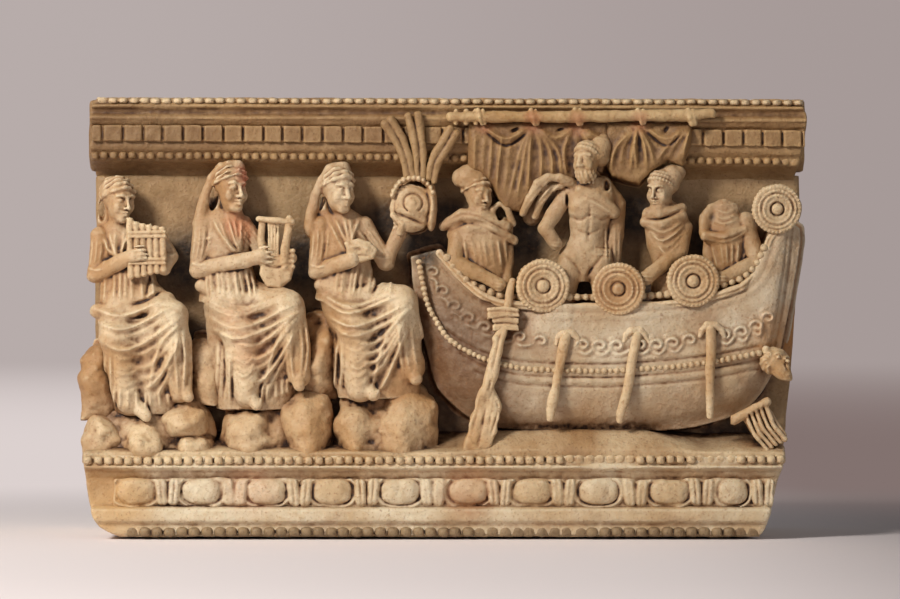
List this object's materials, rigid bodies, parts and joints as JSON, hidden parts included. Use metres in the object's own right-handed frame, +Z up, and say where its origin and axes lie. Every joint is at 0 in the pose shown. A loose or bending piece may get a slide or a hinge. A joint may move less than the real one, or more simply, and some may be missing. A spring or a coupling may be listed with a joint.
{
  "type": "cinerary urn chest",
  "caption": "Rectangular stone urn chest with an open ash cavity and a front carved in high relief with a ship and seated musicians between moulded bands.",
  "frame": {"origin": "middle of the footprint, on the surface that the chest stands on", "axes": "+X along the carved front from the musicians to the ship's prow, +Y from the carved front to the plain back, +Z up"},
  "size_m": [0.724, 0.25, 0.4433],
  "materials": {
    "alabaster_block": "tooled and worn, matt",
    "alabaster_moulding": "carved and worn, matt",
    "alabaster_relief": "rubbed smooth, satin on the high points"
  },
  "bodies": {
    "root": {"chest_body": "alabaster_block", "cornice": "alabaster_block", "plinth": "alabaster_block", "ledge": "alabaster_block", "dentils": "alabaster_moulding", "egg_frieze": "alabaster_moulding", "foot_beads": "alabaster_moulding", "ledge_beads": "alabaster_moulding", "soffit_beads": "alabaster_moulding", "top_beads": "alabaster_moulding", "ship_hull": "alabaster_relief", "gunwale_rail": "alabaster_relief", "wale_beads": "alabaster_relief", "shield_stern": "alabaster_relief", "shield_midship": "alabaster_relief", "shield_fore": "alabaster_relief", "shield_prow": "alabaster_relief", "oar_stern": "alabaster_relief", "oar_midship": "alabaster_relief", "oar_fore": "alabaster_relief", "port_hood_stern": "alabaster_relief", "port_hood_midship": "alabaster_relief", "port_hood_fore": "alabaster_relief", "steering_oar": "alabaster_relief", "steering_bracket": "alabaster_relief", "tiller": "alabaster_relief", "prow_beast_head": "alabaster_relief", "ram": "alabaster_relief", "musician_with_pan_pipes": "alabaster_relief", "musician_with_lyre": "alabaster_relief", "musician_with_broken_pipe": "alabaster_relief", "pan_pipes": "alabaster_relief", "lyre": "alabaster_relief", "broken_pipe": "alabaster_relief", "helmsman": "alabaster_relief", "bound_captain": "alabaster_relief", "capped_sailor": "alabaster_relief", "broken_sailor": "alabaster_relief", "rail_beads": "alabaster_relief", "yard": "alabaster_relief", "sail_left": "alabaster_relief", "sail_right": "alabaster_relief", "stern_disc": "alabaster_relief", "streamer_left": "alabaster_relief", "streamer_middle": "alabaster_relief", "streamer_right": "alabaster_relief", "rock_far_left": "alabaster_relief", "rock_left_foot": "alabaster_relief", "rock_under_piper": "alabaster_relief", "rock_piper_heel": "alabaster_relief", "rock_piper_toe": "alabaster_relief", "rock_seat_left": "alabaster_relief", "rock_under_lyre": "alabaster_relief", "rock_lyre_heel": "alabaster_relief", "rock_seat_right": "alabaster_relief", "rock_under_singer": "alabaster_relief", "rock_singer_heel": "alabaster_relief"}
  },
  "joints": []
}
